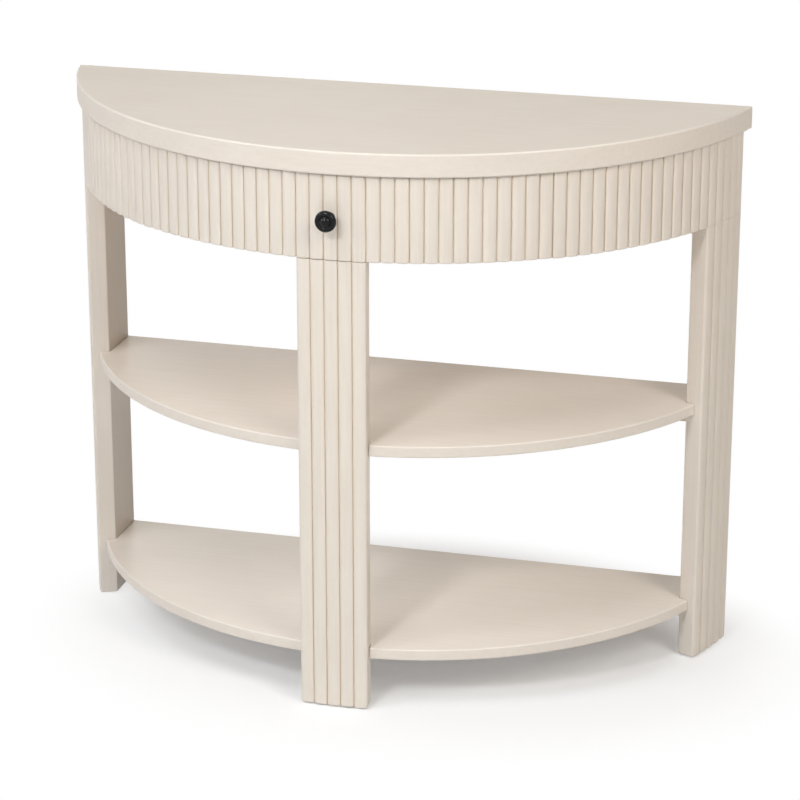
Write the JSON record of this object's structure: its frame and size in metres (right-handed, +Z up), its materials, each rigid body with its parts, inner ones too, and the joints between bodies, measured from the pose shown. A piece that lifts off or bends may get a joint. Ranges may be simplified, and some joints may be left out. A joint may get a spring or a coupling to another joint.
{
  "type": "demilune table",
  "caption": "Half-moon console table with a reeded apron, a curved drawer on slides, reeded legs and open shelves, made to stand with its flat back against a wall.",
  "frame": {"origin": "on the floor, in the middle of the table's width and of its depth with the knob", "axes": "+Z up, +X to the right side, -Y to the front where the drawer opens"},
  "size_m": [0.9464, 0.395, 0.762],
  "materials": {
    "painted_wood": "satin cream paint",
    "plain_wood": "clear lacquer",
    "steel": "zinc plated",
    "black_metal": "semi-gloss black",
    "glide_plastic": "matte"
  },
  "bodies": {
    "frame": {"top_panel": "painted_wood", "middle_shelf": "painted_wood", "lower_shelf": "painted_wood", "back_rail": "painted_wood", "left_leg_core": "painted_wood", "left_leg_reeds": "painted_wood", "front_leg_core": "painted_wood", "front_leg_reeds": "painted_wood", "right_leg_core": "painted_wood", "right_leg_reeds": "painted_wood", "left_apron_core": "painted_wood", "left_apron_reeds": "painted_wood", "right_apron_core": "painted_wood", "right_apron_reeds": "painted_wood", "left_deck_cleat": "painted_wood", "left_middle_shelf_cleat": "painted_wood", "left_lower_shelf_cleat": "painted_wood", "front_deck_cleat": "painted_wood", "front_middle_shelf_cleat": "painted_wood", "front_lower_shelf_cleat": "painted_wood", "right_deck_cleat": "painted_wood", "right_middle_shelf_cleat": "painted_wood", "right_lower_shelf_cleat": "painted_wood", "deck": "plain_wood", "top_blocks": "plain_wood", "leg_dowels": "plain_wood", "left_runner_panel": "plain_wood", "right_runner_panel": "plain_wood", "cleat_board_screws": "steel", "cleat_leg_screws": "steel", "runner_screws": "steel", "top_screws": "steel", "frame_slide_screws": "steel", "left_slide_outer": "steel", "right_slide_outer": "steel", "foot_glides": "glide_plastic"},
    "slide_carriage": {"left_slide_middle": "steel", "right_slide_middle": "steel"},
    "drawer": {"drawer_front_core": "painted_wood", "drawer_front_reeds": "painted_wood", "drawer_left_side": "plain_wood", "drawer_right_side": "plain_wood", "drawer_back": "plain_wood", "drawer_bottom": "plain_wood", "drawer_corner_blocks": "plain_wood", "drawer_bottom_screws": "steel", "drawer_front_screws": "steel", "drawer_slide_screws": "steel", "left_slide_inner": "steel", "right_slide_inner": "steel", "knob": "black_metal", "knob_screw": "steel"}
  },
  "joints": [
    {"name": "drawer_slide", "type": "slide", "parent": "frame", "child": "drawer", "axis": [0, -1, 0], "range_m": [0, 0.225]},
    {"name": "carriage_slide", "type": "slide", "parent": "frame", "child": "slide_carriage", "axis": [0, -1, 0], "range_m": [0, 0.1125]}
  ],
  "couplings": [
    {"joint": "carriage_slide", "follows": "drawer_slide", "ratio": 0.5}
  ]
}
